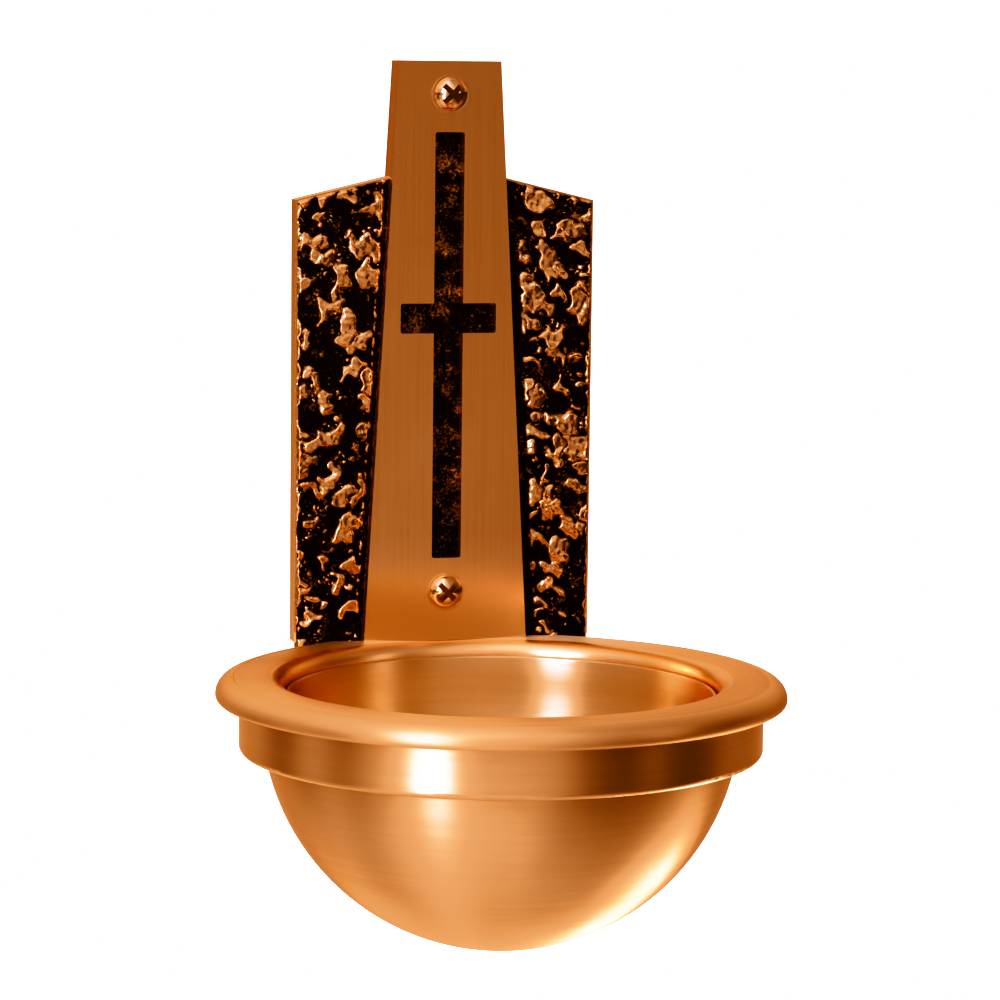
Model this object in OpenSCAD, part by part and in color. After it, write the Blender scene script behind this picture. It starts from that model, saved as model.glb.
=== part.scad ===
// Wall-hung bronze holy-water font: a textured back plate with a raised satin face plate,
// and a round flanged bowl that stands out from the foot of the plate.
// +Z is up, the wall is the plane y = 0 and the front of the font faces -Y.
// The origin is on the lower mounting screw's axis, where it meets the wall.

/* [Bowl] */
// Outer diameter of the rim flange
rim_d = 150; // [146:1:156]
// Thickness of the rim flange
rim_t = 6; // [5:0.5:8]
// Radius of the rounding that turns the flange down into the mouth
mouth_round = 4.2; // [3.5:0.1:4.5]
// Clear diameter of the mouth below that rounding
mouth_d = 114; // [113.6:0.2:115]
// Outer diameter of the collar under the flange
collar_d = 137.6; // [135:0.2:137.8]
// Height of the collar
collar_h = 13.5; // [10:0.5:16]
// Outer diameter of the hemispherical bowl
bowl_d = 126; // [122:0.5:127]
// Wall thickness of the bowl
bowl_t = 1.5; // [1:0.1:2]
// Drop from the flange's top to the centre of the hemisphere
bowl_drop = 9; // [8:0.5:12]

/* [Water cup] */
// Outer diameter of the lift-out water cup
cup_d = 112.8; // [106:0.2:112.8]
// Wall thickness of the cup
cup_t = 1; // [0.8:0.1:1.5]
// Drop from the flange's top to the cup's rim
cup_rim_drop = 3.9; // [3.8:0.1:6]
// Drop from the flange's top to the centre of the cup's round bottom
cup_drop = 11; // [10:0.5:12]

/* [Plates] */
// Thickness of the back plate under its texture
back_t = 6; // [5:0.5:7]
// Thickness of the raised face plate
face_t = 3.7; // [3.5:0.1:3.7]
// Height of both plates above the flange
plate_h = 160; // [150:1:180]
// Width of the face plate at its top
face_top_w = 28.6; // [26:0.2:32]
// Width of the face plate at its foot
face_foot_w = 46.4; // [40:0.2:50]
// Width of the back plate across its wings
wing_w = 84.4; // [76:0.2:86]
// Height of the wings' outer corners above the flange
wing_h = 122; // [110:1:126]
// Rise of a shoulder from the wing's outer corner to the neck
shoulder_rise = 6.3; // [4:0.1:10]

/* [Cross] */
// Width of the cross's arms
cross_arm_w = 8.2; // [6:0.1:10]
// Length of the cross's upright
cross_len = 117.5; // [100:0.5:120]
// Length of the cross-bar
cross_bar = 27; // [22:0.5:28]
// Height of the upright's lower end above the flange
cross_foot = 23.1; // [22:0.1:26]
// Height of the cross-bar's middle above the flange
cross_bar_h = 89.6; // [80:0.1:100]
// Corner radius of the cut-out
cross_corner = 0.7; // [0.3:0.1:1.5]

/* [Mounting screws] */
// Height of the lower mounting screw above the flange
lower_screw_h = 13.6; // [12:0.1:16]
// Distance between the two mounting screws
screw_pitch = 137.4; // [130:0.1:140]
// Thread diameter of a mounting screw
screw_d = 5; // [4:0.5:5]
// Head diameter of a mounting screw
head_d = 9.2; // [8:0.1:9.5]
// Head height of a mounting screw
head_h = 2.8; // [2.4:0.1:2.8]
// Length of shank that stands out behind the wall plane
shank_out = 25; // [20:1:40]

/* [Hidden] */
$fn = 96;

// Heights: the flange's top lies below the lower screw, which is the origin.
flange_top = -lower_screw_h;
flange_under = flange_top - rim_t;
upper_screw_z = screw_pitch;

// The bowl's axis stands off the wall so that the collar just clears it.
wall_gap = 1.2;
bowl_y = -(collar_d / 2 + wall_gap);
rim_r = rim_d / 2;
mouth_r = mouth_d / 2;
collar_r = collar_d / 2;
bowl_r = bowl_d / 2;
cup_r = cup_d / 2;
bowl_centre_z = flange_top - bowl_drop;
cup_centre_z = flange_top - cup_drop;

// Rim section: a large upper rounding, a small lower one and a fine turned line.
rim_round = 4.5;
rim_lower_round = rim_t - rim_round;
line_r = 0.3;

// Collar and bowl lip: the bowl hangs by a lip held in a step inside the collar.
bowl_fit = 0.2;
lip_w = 1.2;
lip_t = 1.2;
collar_round = 1.6;

// Hidden fixings
m3_r = 1.5;
m3_hole_r = 1.55;
m3_head_r = 2.7;
m3_head_h = 2;
m2_r = 1;
m2_hole_r = 1.05;
m2_head_r = 1.5;
m2_head_h = 1.6;
m2_recess = 0.3;
collar_screw_count = 6;
collar_screw_r = bowl_r + bowl_fit + lip_w + m2_head_r;
collar_screw_in = 3.5;
foot_screw_x = 26;
foot_screw_y = -back_t / 2;
foot_screw_up = 9;
face_screw_x = 9.5;
face_screw_heights = [34, 124];
face_screw_in = 3;

// Plates: the front faces of the back plate and of the face plate.
back_front_y = -back_t;
face_front_y = -(back_t + face_t);
washer_t = 0.5;
washer_r = head_d / 2 + 0.6;
screw_hole_r = screw_d / 2 + 0.25;
neck_r = screw_d / 2 - 0.5;
tip_len = 1.5;
recess_w = 1.5;
recess_reach = 3.3;
recess_deep = 2;
head_crown = head_r_from(head_d / 2, head_h);

// Cup rest: a soft ring between the cup's round bottom and the bowl.
rest_inner_r = 18;
rest_outer_r = 26;
rest_gap = 0.3;

// A cut runs this far past the face it opens, and one solid sinks this far into the next.
past = 1;
join = 0.3;

// Radius of the sphere whose cap has this rim radius and height.
function head_r_from(rim, rise) = (rim * rim + rise * rise) / (2 * rise);

// Half width of the face plate at a height above the flange.
function face_half(h) = (face_foot_w + (face_top_w - face_foot_w) * h / plate_h) / 2;

// Turns a section drawn with x as radius and y as height about the bowl's axis.
module turned() {
    translate([0, bowl_y, 0]) rotate_extrude() children();
}

// A plate whose outline is drawn in x and height above the flange.
module upright_plate(y_back, thick) {
    translate([0, y_back, flange_top]) rotate([90, 0, 0]) linear_extrude(height = thick) children();
}

// A round bar along +Y from y0 to y1.
module bar_y(r, y0, y1) {
    translate([0, y0, 0]) rotate([-90, 0, 0]) cylinder(r = r, h = y1 - y0);
}

// Places its children on both mounting screws' axes.
module at_mounting_screws() {
    for (z = [0, upper_screw_z]) translate([0, 0, z]) children();
}

// Places its children on each fixing behind the face plate.
module at_face_screws() {
    for (side = [-1, 1], h = face_screw_heights)
        translate([side * face_screw_x, 0, flange_top + h]) children();
}

// Places its children on each fixing under the plate's foot.
module at_foot_screws() {
    for (side = [-1, 1]) translate([side * foot_screw_x, foot_screw_y, 0]) children();
}

// Places its children on each fixing under the collar.
module at_collar_screws() {
    step = 360 / collar_screw_count;
    for (i = [0 : collar_screw_count - 1])
        translate([0, bowl_y, 0]) rotate([0, 0, (i + 0.5) * step])
            translate([collar_screw_r, 0, 0]) children();
}

module face_outline() {
    polygon([[-face_foot_w / 2, 0], [face_foot_w / 2, 0],
             [face_top_w / 2, plate_h], [-face_top_w / 2, plate_h]]);
}

module wing_outline() {
    shoulder_h = wing_h + shoulder_rise;
    neck = face_half(shoulder_h);
    polygon([[-wing_w / 2, 0], [wing_w / 2, 0], [wing_w / 2, wing_h], [neck, shoulder_h],
             [-neck, shoulder_h], [-wing_w / 2, wing_h]]);
}

// A rectangle about its centre with round corners.
module round_bar(w, h) {
    square([w - 2 * cross_corner, h], center = true);
    square([w, h - 2 * cross_corner], center = true);
    for (sx = [-1, 1], sy = [-1, 1])
        translate([sx * (w / 2 - cross_corner), sy * (h / 2 - cross_corner)])
            circle(r = cross_corner, $fn = 24);
}

module cross_outline() {
    translate([0, cross_foot + cross_len / 2]) round_bar(cross_arm_w, cross_len);
    translate([0, cross_bar_h]) round_bar(cross_bar, cross_arm_w);
}

module back_plate() {
    color("saddlebrown") difference() {
        upright_plate(0, back_t) {
            face_outline();
            wing_outline();
        }
        at_mounting_screws() bar_y(screw_hole_r, back_front_y - past, past);
        at_face_screws() {
            bar_y(m3_hole_r, back_front_y - past, past);
            bar_y(m3_head_r + 0.1, -m3_head_h - 0.2, past);
        }
        at_foot_screws() translate([0, 0, flange_top - past])
            cylinder(r = m3_hole_r, h = foot_screw_up + past + 0.5);
    }
}

module face_plate() {
    color("peru") difference() {
        upright_plate(back_front_y, face_t) difference() {
            face_outline();
            cross_outline();
        }
        at_mounting_screws() bar_y(screw_hole_r, face_front_y - past, back_front_y + past);
        at_face_screws() bar_y(m3_hole_r, back_front_y - face_screw_in - 0.3, back_front_y + past);
    }
}

// Screws from behind that hold the face plate on the back plate.
module face_plate_screws() {
    color("dimgray") at_face_screws() {
        bar_y(m3_r, back_front_y - face_screw_in, -m3_head_h);
        bar_y(m3_head_r, -m3_head_h - 0.1, -0.1);
    }
}

// The pan head: the cap of a sphere with a cross recess.
module pan_head(seat_y) {
    difference() {
        intersection() {
            translate([0, seat_y - head_h + head_crown, 0]) sphere(r = head_crown);
            bar_y(head_d / 2, seat_y - head_h - past, seat_y);
        }
        for (a = [0, 90]) rotate([0, 45 + a, 0])
            translate([-recess_reach, seat_y - head_h - past, -recess_w / 2])
                cube([2 * recess_reach, past + recess_deep, recess_w]);
    }
}

// A mounting screw: a plain neck through the plates, and the thread behind the wall plane.
module mounting_screw(z) {
    color("burlywood") translate([0, 0, z]) {
        pan_head(face_front_y - washer_t);
        bar_y(neck_r, face_front_y - washer_t - join, join);
        bar_y(screw_d / 2, 0, shank_out - tip_len);
        translate([0, shank_out - tip_len, 0]) rotate([-90, 0, 0])
            cylinder(r1 = screw_d / 2, r2 = screw_d / 2 - tip_len / 2, h = tip_len);
    }
}

module washer(z) {
    color("tan") translate([0, 0, z]) difference() {
        bar_y(washer_r, face_front_y - washer_t, face_front_y);
        bar_y(screw_hole_r, face_front_y - washer_t - past, face_front_y + past);
    }
}

module upper_mounting_screw() { mounting_screw(upper_screw_z); }
module lower_mounting_screw() { mounting_screw(0); }
module upper_washer() { washer(upper_screw_z); }
module lower_washer() { washer(0); }

// Screws from below that hold the plates' foot on the flange.
module foot_screws() {
    color("dimgray") at_foot_screws() {
        translate([0, 0, flange_under - m3_head_h]) cylinder(r = m3_head_r, h = m3_head_h);
        translate([0, 0, flange_under - 0.1])
            cylinder(r = m3_r, h = rim_t + foot_screw_up + 0.1);
    }
}

module rim_section() {
    mouth_centre = [mouth_r + mouth_round, flange_top - mouth_round];
    rim_centre_r = rim_r - rim_round;
    difference() {
        union() {
            translate([mouth_centre[0], flange_under]) square([rim_centre_r - mouth_centre[0], rim_t]);
            translate([mouth_r, flange_under])
                square([mouth_round + past, rim_t - mouth_round]);
            intersection() {
                translate(mouth_centre) circle(r = mouth_round);
                translate([0, mouth_centre[1]]) square([mouth_centre[0] + past, mouth_round + past]);
            }
            intersection() {
                translate([rim_centre_r, flange_top - rim_round]) circle(r = rim_round);
                translate([rim_centre_r - past, flange_top - rim_round]) square(rim_round + past);
            }
            translate([rim_centre_r - past, flange_under])
                square([rim_round - rim_lower_round + past, rim_lower_round + 0.01]);
            translate([rim_r - rim_lower_round, flange_top - rim_round]) circle(r = rim_lower_round);
        }
        translate([rim_centre_r - 0.4, flange_top + line_r / 3]) circle(r = line_r, $fn = 24);
    }
}

module rim_flange() {
    color("sandybrown") difference() {
        turned() rim_section();
        translate([-rim_d, 0, flange_under - past]) cube([2 * rim_d, rim_r, rim_t + 2 * past]);
        at_foot_screws() translate([0, 0, flange_under - past])
            cylinder(r = m3_hole_r, h = rim_t + 2 * past);
        at_collar_screws() translate([0, 0, flange_under - past])
            cylinder(r = m2_hole_r, h = collar_screw_in + 0.4 + past);
    }
}

module collar_section() {
    inner_r = bowl_r + bowl_fit;
    bottom = flange_under - collar_h;
    difference() {
        union() {
            translate([inner_r, bottom]) square([collar_r - collar_round - inner_r, collar_h]);
            translate([inner_r, bottom + collar_round])
                square([collar_r - inner_r, collar_h - collar_round]);
            translate([collar_r - collar_round, bottom + collar_round]) circle(r = collar_round);
        }
        translate([0, flange_under - lip_t - 0.1])
            square([inner_r + lip_w, lip_t + 0.1 + past]);
    }
}

module collar_ring() {
    bottom = flange_under - collar_h;
    color("peru") difference() {
        turned() collar_section();
        at_collar_screws() translate([0, 0, bottom - past]) {
            cylinder(r = m2_hole_r, h = collar_h + 2 * past);
            cylinder(r = m2_head_r + 0.1, h = past + m2_recess + m2_head_h);
        }
    }
}

// Screws from below that clamp the collar, and the bowl's lip in it, to the flange.
module collar_screws() {
    bottom = flange_under - collar_h;
    color("dimgray") at_collar_screws() translate([0, 0, bottom + m2_recess]) {
        cylinder(r = m2_head_r, h = m2_head_h);
        cylinder(r = m2_r, h = collar_h - m2_recess + collar_screw_in);
    }
}

// A round-bottomed shell section: a half circle of wall with a straight wall above it.
module shell_section(outer_r, wall, centre_z, top_z) {
    difference() {
        union() {
            translate([0, centre_z]) circle(r = outer_r, $fn = 180);
            translate([0, centre_z]) square([outer_r, top_z - centre_z]);
        }
        translate([0, centre_z]) circle(r = outer_r - wall, $fn = 180);
        translate([0, centre_z]) square([outer_r - wall, top_z - centre_z + past]);
        translate([-2 * outer_r, centre_z - 2 * outer_r]) square([2 * outer_r, 4 * outer_r]);
        translate([0, top_z]) square([2 * outer_r, 2 * outer_r]);
    }
}

module outer_bowl() {
    color("peru") turned() {
        shell_section(bowl_r, bowl_t, bowl_centre_z, flange_under);
        translate([bowl_r - bowl_t, flange_under - lip_t]) square([bowl_t + lip_w, lip_t]);
    }
}

// Soft ring that follows the bowl inside and the cup outside.
module cup_rest_ring() {
    bowl_in_r = bowl_r - bowl_t;
    color("dimgray") turned() difference() {
        intersection() {
            translate([0, bowl_centre_z]) circle(r = bowl_in_r, $fn = 180);
            translate([rest_inner_r, bowl_centre_z - bowl_r])
                square([rest_outer_r - rest_inner_r, bowl_r]);
        }
        translate([0, cup_centre_z]) circle(r = cup_r + rest_gap, $fn = 180);
    }
}

// The cup that holds the water and lifts straight out.
module water_cup() {
    rim_z = flange_top - cup_rim_drop;
    color("chocolate") turned() {
        shell_section(cup_r, cup_t, cup_centre_z, rim_z - cup_t / 2);
        translate([cup_r - cup_t / 2, rim_z - cup_t / 2]) circle(r = cup_t / 2, $fn = 24);
    }
}

back_plate();
face_plate();
face_plate_screws();
upper_mounting_screw();
lower_mounting_screw();
upper_washer();
lower_washer();
foot_screws();
rim_flange();
collar_ring();
collar_screws();
outer_bowl();
cup_rest_ring();
water_cup();
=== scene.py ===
import math

import bmesh
import bpy
import numpy as np
from mathutils import Matrix, Vector


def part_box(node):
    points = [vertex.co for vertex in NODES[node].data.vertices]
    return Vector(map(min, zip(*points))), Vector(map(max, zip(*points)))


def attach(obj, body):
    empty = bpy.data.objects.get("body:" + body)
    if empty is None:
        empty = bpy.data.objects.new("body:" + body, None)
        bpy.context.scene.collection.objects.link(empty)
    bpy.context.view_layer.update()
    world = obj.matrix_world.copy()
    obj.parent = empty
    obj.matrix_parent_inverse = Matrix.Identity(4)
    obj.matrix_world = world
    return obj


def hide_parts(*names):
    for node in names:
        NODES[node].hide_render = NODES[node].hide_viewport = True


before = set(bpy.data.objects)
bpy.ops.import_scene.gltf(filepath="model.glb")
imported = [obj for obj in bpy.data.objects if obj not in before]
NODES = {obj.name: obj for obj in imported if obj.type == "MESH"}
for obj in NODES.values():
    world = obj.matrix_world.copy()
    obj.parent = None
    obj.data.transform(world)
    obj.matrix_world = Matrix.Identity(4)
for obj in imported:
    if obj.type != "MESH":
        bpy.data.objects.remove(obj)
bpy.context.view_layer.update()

MM = 0.001


# ---------------------------------------------------------------- places, all from the frame

def mesh_points(node):
    """A CAD node's vertices, one row each."""
    mesh = NODES[node].data
    points = np.empty(len(mesh.vertices) * 3, np.float32)
    mesh.vertices.foreach_get("co", points)
    return points.reshape(-1, 3).astype(float)


back_low, back_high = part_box("back_plate")
face_low, face_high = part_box("face_plate")
bowl_low, bowl_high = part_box("outer_bowl")
rim_low, rim_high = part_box("rim_flange")

FOOT_Z = back_low.z
TOP_Z = face_high.z
SLAB_Y = back_low.y
FACE_Y = face_low.y
WING_HALF = back_high.x
AXIS_Y = (bowl_low.y + bowl_high.y) / 2

face_points = mesh_points("face_plate")
back_points = mesh_points("back_plate")
FACE_FOOT_HALF = face_high.x
FACE_TOP_HALF = face_points[face_points[:, 2] > TOP_Z - 0.1 * MM, 0].max()


def face_half(z):
    """Half width of the face plate at a height."""
    return FACE_FOOT_HALF + (FACE_TOP_HALF - FACE_FOOT_HALF) * (z - FOOT_Z) / (TOP_Z - FOOT_Z)


wing_corner = back_points[:, 0] > WING_HALF - 0.1 * MM
WING_TOP_Z = back_points[wing_corner, 2].max()
on_shoulder = (back_points[:, 2] < TOP_Z - MM) & (back_points[:, 0] > face_half(back_points[:, 2]) - 0.2 * MM)
NECK_Z = back_points[on_shoulder, 2].max()
NECK_HALF = face_half(NECK_Z)


def wing_top(x):
    """Height of the sloping shoulder at a distance from the middle."""
    return WING_TOP_Z + (NECK_Z - WING_TOP_Z) * (WING_HALF - x) / (WING_HALF - NECK_HALF)


# The cross is the part of the face plate's cut-outs that lies well clear of its edges and screw holes.
SCREW_HOLE = 4 * MM
cut = face_points[np.abs(face_points[:, 0]) < face_half(face_points[:, 2]) - 2 * MM]
lower_z = (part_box("lower_mounting_screw")[0].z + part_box("lower_mounting_screw")[1].z) / 2
upper_z = (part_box("upper_mounting_screw")[0].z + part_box("upper_mounting_screw")[1].z) / 2
clear_of_screws = (np.abs(cut[:, 2] - lower_z) > SCREW_HOLE) & (np.abs(cut[:, 2] - upper_z) > SCREW_HOLE)
at_front = cut[:, 1] < FACE_Y + 0.1 * MM
cross_points = cut[clear_of_screws & at_front]
CROSS_LOW_Z = cross_points[:, 2].min()
CROSS_HIGH_Z = cross_points[:, 2].max()
BAR_HALF = cross_points[:, 0].max()
at_bar_end = cross_points[:, 0] > BAR_HALF - 0.1 * MM
BAR_Z = cross_points[at_bar_end, 2].mean()
near_foot = cross_points[:, 2] < CROSS_LOW_Z + 3 * MM
ARM_HALF = cross_points[near_foot, 0].max()


# ---------------------------------------------------------------- random fields

TILE = 160 * MM
TILE_CELLS = 800


def random_field(seed, wavelength):
    """A repeatable random field on a tile, with lumps about a wavelength apart and a spread of 1."""
    noise = np.random.default_rng(seed).standard_normal((TILE_CELLS, TILE_CELLS))
    spectrum = np.fft.rfft2(noise)
    along_x = np.fft.rfftfreq(TILE_CELLS, TILE / TILE_CELLS)
    along_z = np.fft.fftfreq(TILE_CELLS, TILE / TILE_CELLS)
    waves = np.hypot(along_x[None, :], along_z[:, None]) * wavelength
    spectrum *= np.exp(-1.4 * waves ** 2) * waves ** 0.5
    field = np.fft.irfft2(spectrum, s=noise.shape)
    return field / field.std()


def sample(field, x, z):
    """The field's value at each place, blended between cells."""
    u = x / TILE * TILE_CELLS
    v = z / TILE * TILE_CELLS
    column = np.floor(u).astype(int)
    row = np.floor(v).astype(int)
    u -= column
    v -= row
    left = column % TILE_CELLS
    right = (column + 1) % TILE_CELLS
    low = row % TILE_CELLS
    high = (row + 1) % TILE_CELLS
    bottom = field[low, left] * (1 - u) + field[low, right] * u
    top = field[high, left] * (1 - u) + field[high, right] * u
    return bottom * (1 - v) + top * v


def rise(low, high, value):
    """0 below low, 1 above high, and a smooth step between."""
    t = np.clip((value - low) / (high - low), 0, 1)
    return t * t * (3 - 2 * t)


# ---------------------------------------------------------------- meshes

def new_object(name, mesh):
    """An object of this mesh, linked to the scene."""
    piece = bpy.data.objects.new(name, mesh)
    bpy.context.scene.collection.objects.link(piece)
    return piece


def height_solid(name, x, z, y, back_y, keep, polish):
    """A closed solid whose front is a grid of points and whose back is flat.

    keep says which cells of the grid are there. polish is kept at each point for the material."""
    rows, columns = x.shape
    index = np.arange(rows * columns).reshape(rows, columns)
    corners = [index[:-1, :-1], index[:-1, 1:], index[1:, 1:], index[1:, :-1]]
    faces = np.stack([c[keep] for c in corners], axis=1)
    used = np.unique(faces)
    renumber = np.full(rows * columns, -1)
    renumber[used] = np.arange(len(used))
    points = np.stack([x.ravel(), y.ravel(), z.ravel()], axis=1)[used]
    mesh = bpy.data.meshes.new(name)
    mesh.from_pydata(points.tolist(), [], renumber[faces].tolist())
    layer = mesh.attributes.new("polish", "FLOAT", "POINT")
    layer.data.foreach_set("value", polish.ravel()[used].astype(np.float32))
    build = bmesh.new()
    build.from_mesh(mesh)
    for face in build.faces:
        face.smooth = True
    border = [edge for edge in build.edges if edge.is_boundary]
    sides = bmesh.ops.extrude_edge_only(build, edges=border)["geom"]
    for vertex in sides:
        if isinstance(vertex, bmesh.types.BMVert):
            vertex.co.y = back_y
    back_edges = [edge for edge in build.edges if edge.is_boundary]
    bmesh.ops.edgeloop_fill(build, edges=back_edges)
    bmesh.ops.recalc_face_normals(build, faces=build.faces)
    for edge in border:
        edge.smooth = False
    build.to_mesh(mesh)
    build.free()
    return new_object(name, mesh)


def bevelled_copy(node, name, width, segments=3):
    """The CAD node's own shape with its sharp edges rounded off, to stand for the node."""
    build = bmesh.new()
    build.from_mesh(NODES[node].data)
    bmesh.ops.remove_doubles(build, verts=build.verts, dist=0.005 * MM)
    bmesh.ops.dissolve_limit(build, angle_limit=math.radians(0.5), verts=build.verts, edges=build.edges)
    sharp = [edge for edge in build.edges if edge.calc_face_angle(0) > math.radians(40)]
    bmesh.ops.bevel(build, geom=sharp, offset=width, segments=segments, profile=0.5, affect="EDGES",
                    clamp_overlap=True)
    mesh = bpy.data.meshes.new(name)
    for face in build.faces:
        face.smooth = True
    build.to_mesh(mesh)
    build.free()
    piece = new_object(name, mesh)
    weighted = piece.modifiers.new("flat faces", "WEIGHTED_NORMAL")
    weighted.keep_sharp = True
    return piece


# ---------------------------------------------------------------- turned pieces

TURN_STEPS = 384
ARC_STEP = 6

# The outlines are in mm.
MOUTH_RADIUS = 57.0
MOUTH_ROUND = 4.2
MOUTH_EDGE = MOUTH_RADIUS + MOUTH_ROUND - 0.6    # the polished mouth ends here, just inside its rounding
RIM_ROUND = 4.5
LINE_DEPTH = 0.2
LINE_HALF = 0.3
CUP_WALL = 1.0
rim_top = rim_high.z / MM
rim_under = rim_low.z / MM
rim_radius = rim_high.x / MM
cup_low, cup_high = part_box("water_cup")
cup_radius = cup_high.x / MM
cup_top = cup_high.z / MM
cup_bottom = cup_low.z / MM


def arc(centre, radius, start, end, step=ARC_STEP):
    """Points of an outline along an arc, in mm. Angles are in degrees up from straight out."""
    count = max(2, round(abs(end - start) / step))
    points = []
    for degrees in np.linspace(start, end, count + 1):
        turn = math.radians(degrees)
        points.append((centre[0] + radius * math.cos(turn), centre[1] + radius * math.sin(turn)))
    return points


def rim_outline():
    """The flange's section: mouth rounding, flat top with its fine line, rounded rim, flat underside."""
    lower_round = rim_top - rim_under - RIM_ROUND
    line_radius = rim_radius - RIM_ROUND - LINE_HALF - 0.1
    outline = [(MOUTH_RADIUS, rim_under)]
    outline += arc((MOUTH_RADIUS + MOUTH_ROUND, rim_top - MOUTH_ROUND), MOUTH_ROUND, 180, 90)
    outline += [
        (line_radius - LINE_HALF, rim_top),
        (line_radius, rim_top - LINE_DEPTH),
        (line_radius + LINE_HALF, rim_top),
    ]
    outline += arc((rim_radius - RIM_ROUND, rim_top - RIM_ROUND), RIM_ROUND, 90, 0)
    outline += arc((rim_radius - lower_round, rim_top - RIM_ROUND), lower_round, 0, -90, 15)[1:]
    return outline


def cup_outline():
    """The water cup's section: a hemisphere, a short straight wall and a rounded lip.

    The arcs end on the axis, where the ring shrinks to one point."""
    lip = CUP_WALL / 2
    centre = (0, cup_bottom + cup_radius)
    outline = arc(centre, cup_radius, -90, 0, 2)
    outline += arc((cup_radius - lip, cup_top - lip), lip, 0, 180, 30)
    outline += arc(centre, cup_radius - CUP_WALL, 0, -90, 2)
    return outline


def lathe(outline, closed):
    """Turns an outline of radii and heights about the bowl's axis. A closed outline makes a ring."""
    turns = np.linspace(0, 2 * math.pi, TURN_STEPS, endpoint=False)
    build = bmesh.new()
    rings = []
    for radius, height in outline:
        if radius < 0.001:
            rings.append([build.verts.new((0, AXIS_Y, height * MM))] * TURN_STEPS)
            continue
        ring = []
        for turn in turns:
            x = radius * MM * math.sin(turn)
            y = AXIS_Y - radius * MM * math.cos(turn)
            ring.append(build.verts.new((x, y, height * MM)))
        rings.append(ring)
    if closed:
        rings.append(rings[0])
    for first, second in zip(rings, rings[1:]):
        for i in range(TURN_STEPS):
            j = (i + 1) % TURN_STEPS
            corners = []
            for vertex in (first[i], first[j], second[j], second[i]):
                if vertex not in corners:
                    corners.append(vertex)
            build.faces.new(corners)
    bmesh.ops.recalc_face_normals(build, faces=build.faces)
    for face in build.faces:
        face.smooth = True
    return build


def finish_lathe(name, build):
    """Makes an object of a turned shape, shaded smooth except at its sharp edges."""
    mesh = bpy.data.meshes.new(name)
    build.to_mesh(mesh)
    build.free()
    mesh.set_sharp_from_angle(angle=math.radians(40))
    return new_object(name, mesh)


def make_rim(name):
    """The flange, cut off flat where it meets the wall."""
    build = lathe(rim_outline(), True)
    geometry = build.verts[:] + build.edges[:] + build.faces[:]
    bmesh.ops.bisect_plane(build, geom=geometry, plane_co=(0, 0, 0), plane_no=(0, 1, 0), clear_outer=True)
    cut_edges = [edge for edge in build.edges if edge.is_boundary]
    filled = bmesh.ops.edgeloop_fill(build, edges=cut_edges)
    for face in filled["faces"]:
        face.smooth = False
    bmesh.ops.recalc_face_normals(build, faces=build.faces)
    for face in build.faces:
        middle = face.calc_center_median() - Vector((0, AXIS_Y, 0))
        if middle.xy.length < MOUTH_EDGE * MM:
            face.material_index = 1
    return finish_lathe(name, build)


def make_cup(name):
    """The water cup, one closed skin from its underside over the lip to its inside."""
    return finish_lathe(name, lathe(cup_outline(), False))


# ---------------------------------------------------------------- the cast texture

GRID = 0.3 * MM
EDGE_INSET = 0.3 * MM
SIDE_GAP = 0.05 * MM
BACK_DEPTH = 1.5 * MM            # how far the relief's back lies inside the back plate
RELIEF_FRONT = 2.4 * MM          # how far the wing relief's front stands before the back plate
DEEPEST_FALL = 2.2 * MM          # the foot follows the flange's rounded edge down to here at most
FOOT_SINK = 1.3 * MM             # how much lower the wing's outer foot goes, so that no gap shows
# The right strip is wider than the left: beyond the blackened metal, its black is painted shadow beside the
# face plate.
BLACK_BORDER_LEFT = 1.3 * MM     # blackened strips without blobs beside the face plate
PAINTED_SHADOW_BORDER_RIGHT = 3.2 * MM


def pebbles(x, z, seed):
    """Scattered smooth blobs. Returns their height in mm and how far inside a blob each place lies."""
    picks = np.random.default_rng(seed)
    cell = 6.2 * MM
    height = np.zeros_like(x)
    inside = np.zeros_like(x)
    for row in range(math.floor(z.min() / cell), math.ceil(z.max() / cell)):
        for column in range(math.floor(x.min() / cell), math.ceil(x.max() / cell)):
            centre_x = (column + picks.uniform(0.05, 0.95)) * cell
            centre_z = (row + picks.uniform(0.05, 0.95)) * cell
            long = picks.uniform(2.6, 5.6) * MM
            short = long * picks.uniform(0.38, 0.72)
            slant = math.radians(picks.normal(-40, 32))
            top = picks.uniform(0.9, 1.7)
            tilt = picks.normal(0, 0.45, 2)
            if picks.uniform() < 0.28:
                continue
            along = ((x - centre_x) * math.cos(slant) + (z - centre_z) * math.sin(slant)) / long
            across = ((z - centre_z) * math.cos(slant) - (x - centre_x) * math.sin(slant)) / short
            depth = 1 - along ** 2 - across ** 2
            dome = np.clip(1.7 * depth, 0, 1) ** 0.7 * (1 + 0.4 * tilt[0] * along + 0.4 * tilt[1] * across)
            height = np.maximum(height, top * dome)
            inside = np.maximum(inside, depth)
    return height, inside


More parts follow.
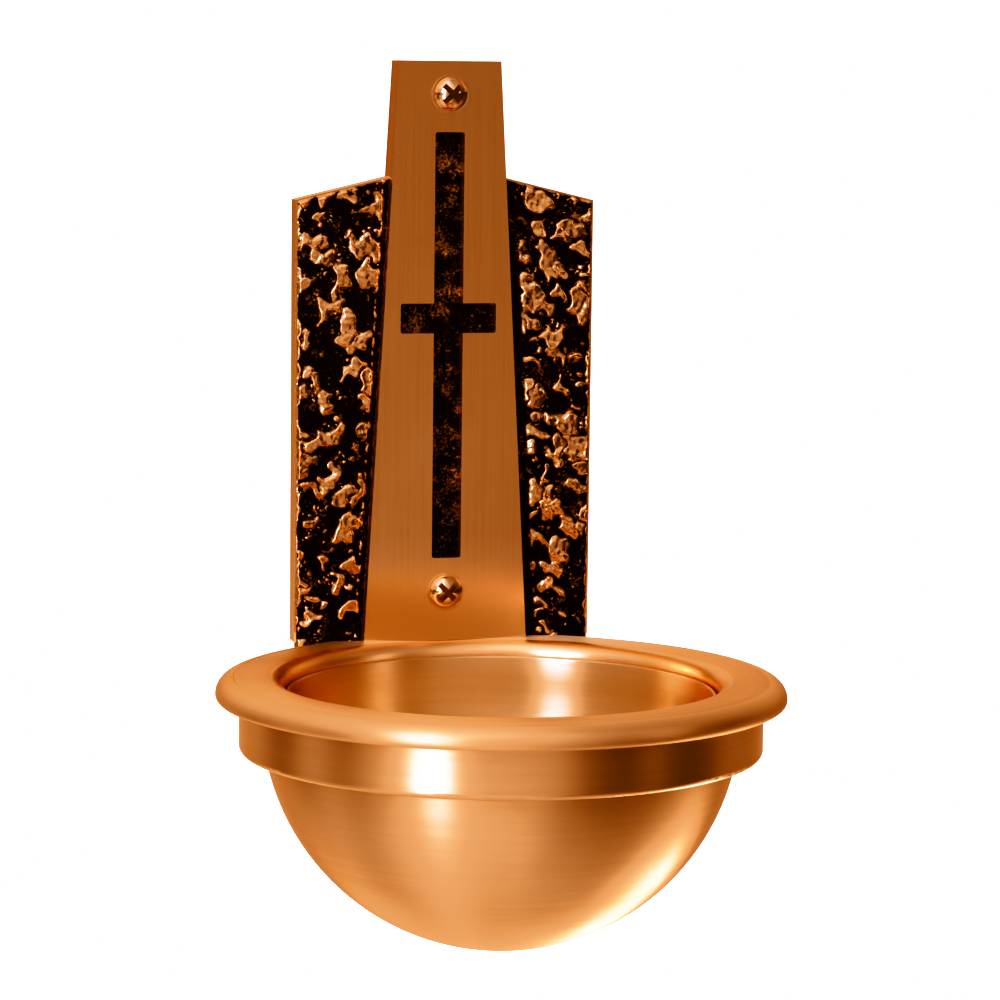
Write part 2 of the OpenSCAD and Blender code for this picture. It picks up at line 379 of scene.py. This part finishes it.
def cast_texture(x, z, seed, blob_room, edge_distance, side_distance):
    """Height above the slab and share of polished metal of the blackened cast texture.

    blob_room runs from 0, no raised blobs, to 1. edge_distance is the way to the nearest free edge
    and side_distance the way to the outer side, which is rubbed bright along a ragged border."""
    drift = 1.0 * MM
    small = sample(random_field(seed + 5, 1.8 * MM), x, z)
    fine = sample(random_field(seed + 6, 0.85 * MM), x, z)
    wx = x + drift * sample(random_field(seed + 1, 5 * MM), x, z) + 0.10 * MM * small
    wz = z + drift * sample(random_field(seed + 2, 5 * MM), x, z) + 0.08 * MM * fine
    middle = sample(random_field(seed + 4, 4.0 * MM), x, z)
    clusters = sample(random_field(seed + 8, 6 * MM), x, z)

    dome, inside = pebbles(wx, wz, seed)
    dome = dome * blob_room
    flecks = rise(0.85, 1.5, fine + 0.45 * small) * rise(0.0, 0.9, clusters) * rise(0.1, 0.6, blob_room)
    valley = 0.30 + 0.12 * small + 0.16 * middle + 0.30 * flecks
    height = np.maximum(valley, dome + 0.05 * small)
    worn = inside + 0.14 * middle + 0.07 * small + 0.04 * fine
    polish = rise(0.06, 0.75, worn) * rise(0.35, 0.8, blob_room)

    edge = rise(0.0, 0.9 * MM, edge_distance)
    wander = sample(random_field(seed + 9, 4.5 * MM), x, z)
    border_width = (0.35 + 0.55 * wander + 0.15 * small) * MM
    border = 1 - rise(0.0, 0.3 * MM, side_distance - border_width)
    height = np.clip(height, 0.05, 2.6) * edge + 0.25 * border * edge - 0.12 * (1 - edge)
    polish = np.maximum(polish, 0.75 * flecks)
    polish = np.maximum(polish, border)
    return height * MM, polish


def rim_fall(x):
    """How far the flange's rounded edge falls below its top under the front of a wing."""
    rim_round = RIM_ROUND * MM
    radius = np.hypot(x, SLAB_Y - RELIEF_FRONT - AXIS_Y)
    share = np.clip((radius - (rim_high.x - rim_round)) / rim_round, 0, 0.95)
    return np.minimum(rim_round * (1 - np.sqrt(1 - share ** 2)), DEEPEST_FALL)


def wing_relief(name, side, seed):
    """The cast texture on one wing, from the face plate's edge to the wing's free edges.

    side is -1 on the left and 1 on the right. The grid's width depends on its height and the other
    way round, so a few rounds settle both."""
    columns = int((WING_HALF - NECK_HALF) / GRID)
    rows = int((NECK_Z - FOOT_Z) / GRID)
    across, up = np.meshgrid(np.linspace(0, 1, columns), np.linspace(0, 1, rows))
    z = FOOT_Z + up * (WING_TOP_Z - FOOT_Z)
    for _ in range(6):
        inner = face_half(z) + SIDE_GAP
        x = inner + across * (WING_HALF - EDGE_INSET - inner)
        low = FOOT_Z + SIDE_GAP - rim_fall(x) - FOOT_SINK * rise(24 * MM, 30 * MM, x)
        z = low + up * (wing_top(x) - EDGE_INSET - low)
    shoulder_slope = (NECK_Z - WING_TOP_Z) / (WING_HALF - NECK_HALF)
    to_top = (wing_top(x) - EDGE_INSET - z) / math.hypot(1, shoulder_slope)
    to_side = WING_HALF - EDGE_INSET - x
    edge_distance = np.minimum(to_top, to_side)
    # Left: a blackened strip. Right: a wider black strip whose extra width is painted shadow beside the face
    # plate.
    blackened_and_shadow_width = BLACK_BORDER_LEFT if side < 0 else PAINTED_SHADOW_BORDER_RIGHT
    from_face = x - face_half(z)
    blob_room = rise(0.25 * blackened_and_shadow_width, 1.8 * blackened_and_shadow_width, from_face)
    height, polish = cast_texture(x, z, seed, blob_room, edge_distance, to_side)
    if side < 0:
        dots = rise(0.2, 0.9, sample(random_field(seed + 10, 1.3 * MM), x, z))
        dots = dots * np.exp(-(((from_face - 1.9 * MM) / (0.35 * MM)) ** 2))
        height = height + 0.3 * MM * dots
        polish = np.maximum(polish, 0.8 * dots)
    y = SLAB_Y - height
    keep = np.ones((rows - 1, columns - 1), bool)
    return height_solid(name, side * x, z, y, SLAB_Y + BACK_DEPTH, keep, polish)


def cross_relief(name, seed):
    """The low cast texture on the floor of the cross, crossed by slanting bands of flecks."""
    fit = 0.02 * MM
    xs = np.concatenate([
        np.linspace(-BAR_HALF + fit, -ARM_HALF + fit, 32)[:-1],
        np.linspace(-ARM_HALF + fit, ARM_HALF - fit, 28),
        np.linspace(ARM_HALF - fit, BAR_HALF - fit, 32)[1:],
    ])
    zs = np.concatenate([
        np.linspace(CROSS_LOW_Z + fit, BAR_Z - ARM_HALF + fit, 208)[:-1],
        np.linspace(BAR_Z - ARM_HALF + fit, BAR_Z + ARM_HALF - fit, 28),
        np.linspace(BAR_Z + ARM_HALF - fit, CROSS_HIGH_Z - fit, 158)[1:],
    ])
    x, z = np.meshgrid(xs, zs)
    small = sample(random_field(seed + 1, 1.8 * MM), x, z)
    fine = sample(random_field(seed + 2, 0.85 * MM), x, z)
    slant = math.radians(25)
    band_x = x * 0.35 - z * math.sin(slant) * 0.2
    band_z = z * 1.2 - x * math.sin(slant)
    bands = sample(random_field(seed + 3, 7 * MM), band_x, band_z)
    flecks = rise(0.55, 1.25, fine + 0.45 * small) * rise(-0.1, 0.9, bands)
    height = (0.55 + 0.16 * small + 0.15 * bands + 0.34 * flecks) * MM
    y = SLAB_Y - np.clip(height, 0.05 * MM, 1.8 * MM)
    mid_x = (xs[:-1] + xs[1:]) / 2
    mid_z = (zs[:-1] + zs[1:]) / 2
    upright = np.abs(mid_x)[None, :] < ARM_HALF
    bar = np.abs(mid_z - BAR_Z)[:, None] < ARM_HALF
    keep = np.logical_or(upright, bar)
    return height_solid(name, x, z, y, SLAB_Y + BACK_DEPTH, keep, 0.35 * flecks)


# ---------------------------------------------------------------- materials

# Colours of the metals. The film curve below is scaled by COPPER's three parts.
COPPER = (0.92, 0.64, 0.45, 1)
COPPER_DEEP = (0.85, 0.58, 0.39, 1)
CAST_COPPER = (0.60, 0.40, 0.27, 1)
# The water cup's copper is a darker, paler copy of the bronze: painted shade, dimming the light inside the
# cup.
COPPER_PAINTED_SHADE = (0.76, 0.595, 0.44, 1)
COPPER_PAINTED_SHADE_DEEP = (0.71, 0.54, 0.395, 1)
# Pale copper painted on the flange near the wall and on the face plate's foot: painted light, standing for
# bright reflections there.
PAINTED_LIGHT_PALE = (0.98, 0.82, 0.68, 1)
BRONZE = (COPPER, COPPER_DEEP)
PAINTED_SHADE_BRONZE = (COPPER_PAINTED_SHADE, COPPER_PAINTED_SHADE_DEEP)
PATINA = (0.0015, 0.0008, 0.0004, 1)
RECESS_DARK = (0.16, 0.10, 0.06, 1)
EDGE_TINT = (1.0, 0.8, 0.64, 1)
SCREW_COPPER = (0.94, 0.72, 0.55, 1)
STEEL = (0.45, 0.44, 0.42, 1)
RUBBER = (0.018, 0.017, 0.016, 1)
RUBBER_BLOOM = (0.04, 0.038, 0.035, 1)
FLOOR_DARK = (0.9, 0.9, 0.89, 1)
FLOOR_PALE = (0.94, 0.94, 0.93, 1)
RING_AXIS = (0, AXIS_Y, 0)
WALL_PAINTED_LIGHT = (-34 * MM, -14 * MM)                     # where the flange is painted paler as painted light near the wall, along Y
FOOT_PAINTED_REFLECTION = (FOOT_Z + 2 * MM, FOOT_Z + 30 * MM)      # where the face plate's painted reflection fades and it turns darker upwards, along Z


def new_material(name):
    """A material with one Principled shader. Returns the material, its node tree and the shader."""
    material = bpy.data.materials.new(name)
    material.use_nodes = True
    tree = material.node_tree
    tree.nodes.clear()
    output = tree.nodes.new("ShaderNodeOutputMaterial")
    shader = tree.nodes.new("ShaderNodeBsdfPrincipled")
    tree.links.new(shader.outputs["BSDF"], output.inputs["Surface"])
    return material, tree, shader


def put(tree, target, value):
    """Links a socket to a target socket, or sets the target to a plain value."""
    if isinstance(value, bpy.types.NodeSocket):
        tree.links.new(value, target)
    else:
        target.default_value = value


def node(tree, kind, inputs, output=0, **settings):
    """Adds a shader node and returns one of its outputs. inputs are keyed by name or number."""
    made = tree.nodes.new("ShaderNode" + kind)
    for key, value in settings.items():
        setattr(made, key, value)
    for key, value in inputs.items():
        put(tree, made.inputs[key], value)
    return made.outputs[output]


def maths(tree, operation, first, second=0.0, clamp=False):
    return node(tree, "Math", {0: first, 1: second}, operation=operation, use_clamp=clamp)


def vector_maths(tree, operation, first, second=(0, 0, 0), output=0):
    return node(tree, "VectorMath", {0: first, 1: second}, output, operation=operation)


def blend_colour(tree, share, first, second):
    made = tree.nodes.new("ShaderNodeMix")
    made.data_type = "RGBA"
    put(tree, made.inputs[0], share)
    put(tree, made.inputs[6], first)
    put(tree, made.inputs[7], second)
    return made.outputs[2]


def remap(tree, value, from_low, from_high, to_low, to_high):
    """Carries a value from one range to another, and keeps it there."""
    names = ("Value", "From Min", "From Max", "To Min", "To Max")
    inputs = dict(zip(names, (value, from_low, from_high, to_low, to_high)))
    return node(tree, "MapRange", inputs, clamp=True)


def noise(tree, place, scale, detail=2.0, roughness=0.5, **more):
    inputs = {"Vector": place, "Scale": scale, "Detail": detail, "Roughness": roughness}
    return node(tree, "TexNoise", inputs | more, "Fac")


def place_in_frame(tree):
    return node(tree, "TexCoord", {}, "Object")


def bump(tree, height, depth, normal=None):
    inputs = {"Strength": 1.0, "Distance": depth, "Height": height}
    if normal is not None:
        inputs["Normal"] = normal
    return node(tree, "Bump", inputs)


def turned_place(tree, across, along):
    """The four noise coordinates that draw rings about the bowl's axis, the last one on its own.

    across is how many bumps there are per metre from ring to ring, along how many per turn."""
    place = vector_maths(tree, "SUBTRACT", place_in_frame(tree), RING_AXIS)
    flat = vector_maths(tree, "MULTIPLY", place, (1, 1, 0))
    radius = vector_maths(tree, "LENGTH", flat, output="Value")
    bearing_x = node(tree, "SeparateXYZ", {0: vector_maths(tree, "NORMALIZE", flat)}, "X")
    bearing_y = bearing_x.node.outputs["Y"]
    height = node(tree, "SeparateXYZ", {0: place}, "Z")
    inputs = {
        0: maths(tree, "MULTIPLY", radius, across),
        1: maths(tree, "MULTIPLY", height, across),
        2: maths(tree, "MULTIPLY", bearing_x, along),
    }
    return node(tree, "CombineXYZ", inputs), maths(tree, "MULTIPLY", bearing_y, along)


def turned_noise(tree, across, along, detail=2.0):
    vector, fourth = turned_place(tree, across, along)
    inputs = {"Vector": vector, "W": fourth, "Scale": 1.0, "Detail": detail, "Roughness": 0.55}
    return node(tree, "TexNoise", inputs, "Fac", noise_dimensions="4D")


def turned_metal(name, roughness, line_depth, colours, anisotropy=0.75, painted_light_at_wall=False):
    """Copper-coloured metal with the fine rings that turning or spinning leaves.

    roughness is its least and greatest value, colours are the light and the deep one. A piece with
    painted light at the wall is painted paler near the wall, in place of the bright reflection there."""
    material, tree, shader = new_material(name)
    fine = turned_noise(tree, 5200, 3, detail=3)
    broad = turned_noise(tree, 700, 1.5)
    place = place_in_frame(tree)
    smudge = noise(tree, place, 28, detail=4)
    rings = maths(tree, "MULTIPLY", broad, 0.5)
    share = remap(tree, maths(tree, "ADD", rings, maths(tree, "MULTIPLY", smudge, 0.5)), 0.38, 0.62, 0, 1)
    metal = blend_colour(tree, share, *colours)
    # Painted light: near the wall the flange is painted paler, in place of the bright reflection there.
    if painted_light_at_wall:
        depth = node(tree, "SeparateXYZ", {0: place}, "Y")
        metal = blend_colour(tree, remap(tree, depth, *WALL_PAINTED_LIGHT, 0, 1), metal, PAINTED_LIGHT_PALE)
    put(tree, shader.inputs["Base Color"], metal)
    shader.inputs["Specular Tint"].default_value = EDGE_TINT
    shader.inputs["Metallic"].default_value = 1.0
    put(tree, shader.inputs["Roughness"], remap(tree, smudge, 0.3, 0.7, *roughness))
    put(tree, shader.inputs["Normal"], bump(tree, fine, line_depth))
    shader.inputs["Anisotropic"].default_value = anisotropy
    shader.inputs["Anisotropic Rotation"].default_value = 0.25
    flat = vector_maths(tree, "MULTIPLY", vector_maths(tree, "SUBTRACT", place, RING_AXIS), (1, 1, 0))
    around = vector_maths(tree, "CROSS_PRODUCT", (0, 0, 1), flat)
    put(tree, shader.inputs["Tangent"], vector_maths(tree, "NORMALIZE", around))
    return material


def brushed_metal(name):
    """Satin metal brushed from top to bottom, painted paler towards its foot: a painted reflection of the
    bright flange.
    """
    material, tree, shader = new_material(name)
    place = place_in_frame(tree)
    grain = vector_maths(tree, "MULTIPLY", place, (5200, 900, 60))
    fine = noise(tree, grain, 1.0, detail=3)
    streaks = noise(tree, vector_maths(tree, "MULTIPLY", place, (900, 300, 14)), 1.0, detail=2)
    smudge = noise(tree, place, 35, detail=4)
    share = remap(tree, maths(tree, "ADD", streaks, smudge), 0.75, 1.3, 0, 1)
    metal = blend_colour(tree, share, COPPER, COPPER_DEEP)
    height = node(tree, "SeparateXYZ", {0: place}, "Z")
    # Painted reflection: towards its foot the plate is painted paler, standing for the bright flange it
    # mirrors.
    foot_painted_reflection = remap(tree, height, *FOOT_PAINTED_REFLECTION, 1.0, 0)
    put(tree, shader.inputs["Base Color"], blend_colour(tree, foot_painted_reflection, metal, PAINTED_LIGHT_PALE))
    shader.inputs["Metallic"].default_value = 1.0
    put(tree, shader.inputs["Roughness"], remap(tree, smudge, 0.3, 0.7, 0.21, 0.26))
    put(tree, shader.inputs["Normal"], bump(tree, fine, 0.006 * MM))
    shader.inputs["Anisotropic"].default_value = 0.8
    shader.inputs["Anisotropic Rotation"].default_value = 0.0
    shader.inputs["Specular Tint"].default_value = EDGE_TINT
    return material


def cast_metal(name, brown=0.3):
    """Blackened cast metal, bright where the polish attribute says, brown where it is half rubbed.

    brown is how much of the blackening is thin enough to show brown."""
    material, tree, shader = new_material(name)
    place = place_in_frame(tree)
    polish = node(tree, "Attribute", {}, "Fac", attribute_name="polish")
    ragged = noise(tree, place, 1300, detail=3)
    edge = maths(tree, "ADD", polish, maths(tree, "MULTIPLY", maths(tree, "SUBTRACT", ragged, 0.5), 0.5))
    bright = remap(tree, edge, 0.3, 0.8, 0, 1)
    cluster = noise(tree, place, 230, detail=3)
    grains = noise(tree, place, 1500, detail=2)
    thin = maths(tree, "ADD", cluster, maths(tree, "MULTIPLY", grains, 0.8))
    rubbed = remap(tree, thin, 1.12 - 0.3 * brown, 1.34 - 0.3 * brown, 0, 0.35)
    shown = maths(tree, "MAXIMUM", bright, rubbed)
    tone = noise(tree, place, 420, detail=3)
    metal = blend_colour(tree, remap(tree, tone, 0.35, 0.7, 0, 1), COPPER, CAST_COPPER)
    put(tree, shader.inputs["Base Color"], blend_colour(tree, shown, PATINA, metal))
    put(tree, shader.inputs["Metallic"], remap(tree, shown, 0, 0.4, 0, 1))
    put(tree, shader.inputs["Roughness"], remap(tree, shown, 0, 1, 0.5, 0.17))
    shader.inputs["Specular IOR Level"].default_value = 0.03
    shader.inputs["Specular Tint"].default_value = EDGE_TINT
    wrinkles = noise(tree, place, 900, detail=3)
    lumps = bump(tree, rubbed, 0.10 * MM)
    put(tree, shader.inputs["Normal"], bump(tree, wrinkles, 0.04 * MM, lumps))
    return material


def polished_metal(name, colour, roughness):
    """Bright metal with faint handling marks. Returns its parts for more work."""
    material, tree, shader = new_material(name)
    place = place_in_frame(tree)
    marks = noise(tree, place, 900, detail=4)
    smudge = noise(tree, place, 260, detail=3)
    deep = tuple(0.7 * part for part in colour[:3]) + (1,)
    metal = blend_colour(tree, remap(tree, smudge, 0.4, 0.7, 0, 1), colour, deep)
    put(tree, shader.inputs["Base Color"], metal)
    shader.inputs["Metallic"].default_value = 1.0
    put(tree, shader.inputs["Roughness"], remap(tree, smudge, 0.3, 0.7, roughness, roughness + 0.1))
    put(tree, shader.inputs["Normal"], bump(tree, marks, 0.01 * MM))
    return material, tree, shader, metal


def screw_metal(name, colour, roughness):
    """Polished metal, darker inside the cross recess of a mounting screw's domed head."""
    material, tree, shader, metal = polished_metal(name, colour, roughness)
    head_low, head_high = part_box("upper_mounting_screw")
    washer_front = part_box("upper_washer")[0].y
    rise_of_head = washer_front - head_low.y
    half = (head_high.x - head_low.x) / 2
    dome = (half ** 2 + rise_of_head ** 2) / (2 * rise_of_head)
    place = place_in_frame(tree)
    nearest = None
    for height in (upper_z, lower_z):
        centre = (0, washer_front + dome - rise_of_head, height)
        away = vector_maths(tree, "LENGTH", vector_maths(tree, "SUBTRACT", place, centre), output="Value")
        nearest = away if nearest is None else maths(tree, "MINIMUM", nearest, away)
    # Darker metal deeper than the domed surface, inside the cross recess.
    recess_dark = remap(tree, nearest, dome - 0.9 * MM, dome - 0.15 * MM, 1, 0)
    put(tree, shader.inputs["Base Color"], blend_colour(tree, recess_dark, metal, RECESS_DARK))
    return material


def soft_rubber(name):
    """Dull black rubber with a faint grey bloom."""
    material, tree, shader = new_material(name)
    place = place_in_frame(tree)
    grain = noise(tree, place, 2500, detail=3)
    bloom = noise(tree, place, 90, detail=3)
    share = remap(tree, bloom, 0.35, 0.7, 0, 1)
    put(tree, shader.inputs["Base Color"], blend_colour(tree, share, RUBBER, RUBBER_BLOOM))
    put(tree, shader.inputs["Roughness"], remap(tree, bloom, 0.3, 0.7, 0.6, 0.8))
    put(tree, shader.inputs["Normal"], bump(tree, grain, 0.02 * MM))
    return material


def wear(piece, *materials):
    """Gives a piece these materials in place of all it had."""
    slots = piece.data.materials
    if slots:
        slots.clear()
    for material in materials:
        slots.append(material)
    return piece


# ---------------------------------------------------------------- the stage

VIEW_AZIMUTH = math.radians(-15.1)
VIEW_ELEVATION = math.radians(6.94)
VIEW_ROLL = math.radians(0.66)
LENS = 131.8
SENSOR = 36.0
CAMERA_PLACE = Vector((-247.9, -985.1, 148.3)) * MM


def make_camera():
    """The camera, turned by its azimuth about Z, its elevation and a slight roll."""
    data = bpy.data.cameras.new("camera")
    data.lens = LENS
    data.sensor_width = SENSOR
    data.clip_start = 10 * MM
    camera = bpy.data.objects.new("camera", data)
    bpy.context.scene.collection.objects.link(camera)
    turn = Matrix.Rotation(VIEW_AZIMUTH, 4, "Z")
    tilt = Matrix.Rotation(math.pi / 2 - VIEW_ELEVATION, 4, "X")
    roll = Matrix.Rotation(VIEW_ROLL, 4, "Z")
    camera.matrix_world = Matrix.Translation(CAMERA_PLACE) @ turn @ tilt @ roll
    bpy.context.scene.camera = camera
    return camera


# Brightness of the studio around the font: level with it, a little above, below and overhead.
# Angles are in degrees from the camera's side, to the right.
ROOM = [
    (-180, 1.15), (-162, 1.05), (-148, 0.8), (-132, 0.72), (-118, 0.28), (-102, 0.28), (-97, 0.85),
    (-85, 0.85), (-80, 0.19), (-66, 0.19), (-60, 0.9), (-40, 1.05), (-35.5, 8.0), (-27, 8.0),
    (-23, 0.95), (0, 1.0), (24, 0.95), (33, 0.12), (104, 0.08), (112, 0.4), (148, 0.5), (162, 0.9),
    (180, 1.15),
]
HIGH = [
    (-180, 1.35), (-150, 1.35), (-110, 1.1), (-47, 1.0), (-38, 12.0), (-25, 12.0), (-18, 1.1), (15, 1.3),
    (40, 1.1), (50, 0.2), (62, 0.2), (66, 3.0), (74, 3.0), (78, 0.2), (110, 0.2), (150, 0.9),
    (180, 1.35),
]
GROUND = [
    (-180, 3.0), (-150, 1.8), (-130, 1.3), (-90, 0.8), (-50, 1.8), (-15, 2.0), (15, 1.6), (30, 0.4),
    (95, 0.25), (112, 1.0), (130, 6.5), (166, 6.5), (180, 3.5),
]
OVERHEAD = [
    (-180, 1.4), (-120, 1.6), (-90, 1.8), (-45, 2.8), (5, 2.8), (50, 0.8), (110, 0.5), (150, 1.0),
    (180, 1.4),
]
BRIGHTEST = 12.0
BELOW = 1.15
WHITE = 4.2              # light that the film shows as white, and what the camera sees behind the font
FLOOR_GLOW = 3.4
FLOOR_DROP = 60 * MM
FLOOR_RADIUS = 2.5


def make_ramp(tree, share, levels):
    """Brightness by bearing, from the camera's far side round to itself. Stops are added in order."""
    ramp = tree.nodes.new("ShaderNodeValToRGB")
    put(tree, ramp.inputs[0], share)
    stops = ramp.color_ramp.elements
    while len(stops) > 1:
        stops.remove(stops[0])
    for number, (degrees, value) in enumerate(levels):
        place = degrees / 360 + 0.5
        stop = stops[0] if number == 0 else stops.new(place)
        stop.position = place
        stop.color = (value / BRIGHTEST,) * 3 + (1,)
    return maths(tree, "MULTIPLY", ramp.outputs[0], BRIGHTEST)


def make_world():
    """A studio of soft light and dark cards. The camera itself sees plain white."""
    world = bpy.data.worlds.new("studio")
    bpy.context.scene.world = world
    world.use_nodes = True
    tree = world.node_tree
    tree.nodes.clear()
    direction = node(tree, "TexCoord", {}, "Generated")
    turned = node(tree, "VectorRotate", {"Vector": direction, "Angle": -VIEW_AZIMUTH}, rotation_type="Z_AXIS")
    x = node(tree, "SeparateXYZ", {0: turned}, "X")
    y = x.node.outputs["Y"]
    z = x.node.outputs["Z"]
    bearing = maths(tree, "ARCTAN2", x, maths(tree, "MULTIPLY", y, -1.0))
    share = remap(tree, bearing, -math.pi, math.pi, 0, 1)
    leaning = maths(tree, "SUBTRACT", share, remap(tree, z, -0.17, -0.05, 0.0, 0.024))
    level = make_ramp(tree, leaning, ROOM)
    ground = make_ramp(tree, share, GROUND)
    high = make_ramp(tree, share, HIGH)
    overhead = make_ramp(tree, share, OVERHEAD)
    shaded = maths(tree, "MULTIPLY", level, remap(tree, z, -0.15, -0.02, 1.05, 0.5))
    steps = (
        (remap(tree, z, -0.56, -0.42, 1, 0), ground),
        (remap(tree, z, -0.86, -0.74, 1, 0), BELOW),
        (remap(tree, z, 0.06, 0.16, 0, 1), high),
        (remap(tree, z, 0.42, 0.6, 0, 1), overhead),
    )
    whole = shaded
    for reach, brightness in steps:
        whole = node(tree, "Mix", {0: reach, 2: whole, 3: brightness})
    seen = node(tree, "LightPath", {}, "Is Camera Ray")
    strength = node(tree, "Mix", {0: seen, 2: whole, 3: WHITE})
    light = node(tree, "Background", {"Color": (1, 1, 1, 1), "Strength": strength})
    output = tree.nodes.new("ShaderNodeOutputWorld")
    tree.links.new(light, output.inputs["Surface"])


def make_floor():
    """A pale floor some way below the bowl. Polished metal mirrors the studio in its place."""
    build = bmesh.new()
    bmesh.ops.create_circle(build, cap_ends=True, segments=96, radius=FLOOR_RADIUS)
    mesh = bpy.data.meshes.new("floor")
    build.to_mesh(mesh)
    build.free()
    floor = new_object("floor", mesh)
    floor.location = (0, AXIS_Y, bowl_low.z - FLOOR_DROP)
    floor.visible_glossy = False
    material, tree, shader = new_material("pale_floor")
    grain = noise(tree, place_in_frame(tree), 60, detail=3)
    put(tree, shader.inputs["Base Color"], blend_colour(tree, grain, FLOOR_DARK, FLOOR_PALE))
    shader.inputs["Roughness"].default_value = 0.9
    shader.inputs["Emission Color"].default_value = (1, 1, 1, 1)
    shader.inputs["Emission Strength"].default_value = FLOOR_GLOW
    wear(floor, material)


# How the film shows copper lit by a given light: light, then red, green and blue in the picture.
FILM = [
    (0.0, 0.0, 0.0, 0.0),
    (0.15, 0.063, 0.012, 0.0),
    (0.32, 0.205, 0.039, 0.001),
    (0.50, 0.36, 0.092, 0.010),
    (0.67, 0.47, 0.145, 0.027),
    (0.90, 0.61, 0.22, 0.056),
    (1.18, 0.79, 0.33, 0.107),
    (1.55, 0.865, 0.39, 0.14),
    (2.00, 0.945, 0.50, 0.22),
    (2.50, 0.985, 0.70, 0.46),
    (3.10, 0.995, 0.92, 0.84),
    (3.80, 1.0, 1.0, 1.0),
]


def set_film():
    """Deepens the shadows and lets bright metal fade to white, as film does."""
    view = bpy.context.scene.view_settings
    view.view_transform = "Standard"
    view.use_curve_mapping = True
    mapping = view.curve_mapping
    mapping.clip_max_x = WHITE
    mapping.extend = "HORIZONTAL"
    for channel in range(3):
        curve = mapping.curves[channel]
        while len(curve.points) < len(FILM):
            curve.points.new(0.5, 0.5)
        for point, row in zip(curve.points, FILM):
            point.location = (row[0] * COPPER[channel], row[1 + channel])
            point.handle_type = "AUTO_CLAMPED"
    mapping.update()


# ---------------------------------------------------------------- putting it together

make_camera()
make_world()
make_floor()

turned = turned_metal("turned_bronze", (0.29, 0.35), 0.004 * MM, BRONZE)
# The flange carries painted light near the wall.
flange_metal = turned_metal("flange_bronze", (0.42, 0.50), 0.007 * MM, BRONZE, 0.7, painted_light_at_wall=True)
mouth_metal = turned_metal("mouth_bronze", (0.29, 0.34), 0.003 * MM, BRONZE, 0.5)
spun = turned_metal("spun_bronze", (0.36, 0.42), 0.005 * MM, BRONZE, 0.85)
# The cup wears the darker copy of the bronze, painted shade for its inside.
cup_metal = turned_metal("cup_bronze", (0.32, 0.38), 0.005 * MM, PAINTED_SHADE_BRONZE, 0.9)
brushed = brushed_metal("brushed_bronze")
cast = cast_metal("cast_bronze", 0.1)
cross_cast = cast_metal("cross_floor", 0.5)
screw = screw_metal("polished_screw", SCREW_COPPER, 0.08)
steel = polished_metal("hidden_steel", STEEL, 0.3)[0]
rubber = soft_rubber("soft_rubber")

for names, material in (
    (("rim_flange", "collar_ring"), turned),
    (("outer_bowl",), spun),
    (("water_cup",), cup_metal),
    (("upper_mounting_screw", "lower_mounting_screw", "upper_washer", "lower_washer"), screw),
    (("face_plate_screws", "foot_screws", "collar_screws"), steel),
    (("cup_rest_ring",), rubber),
    (("back_plate", "face_plate"), brushed),
):
    for name in names:
        wear(NODES[name], material)

for node_name, slot in (("back_plate", "cast_bronze"), ("face_plate", "brushed_bronze")):
    piece = bevelled_copy(node_name, node_name + "_rounded", 0.3 * MM)
    wear(piece, brushed)
    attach(piece, "font")
    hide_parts(node_name)

for piece, node_name, body, slot, materials in (
    (make_rim("rim_turned"), "rim_flange", "font", "turned_bronze", (flange_metal, mouth_metal)),
    (make_cup("cup_turned"), "water_cup", "cup", "spun_bronze", (cup_metal,)),
):
    wear(piece, *materials)
    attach(piece, body)
    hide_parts(node_name)

for piece, material in (
    (wing_relief("left_wing_relief", -1, 11), cast),
    (wing_relief("right_wing_relief", 1, 42), cast),
    (cross_relief("cross_relief", 73), cross_cast),
):
    wear(piece, material)
    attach(piece, "font")

set_film()
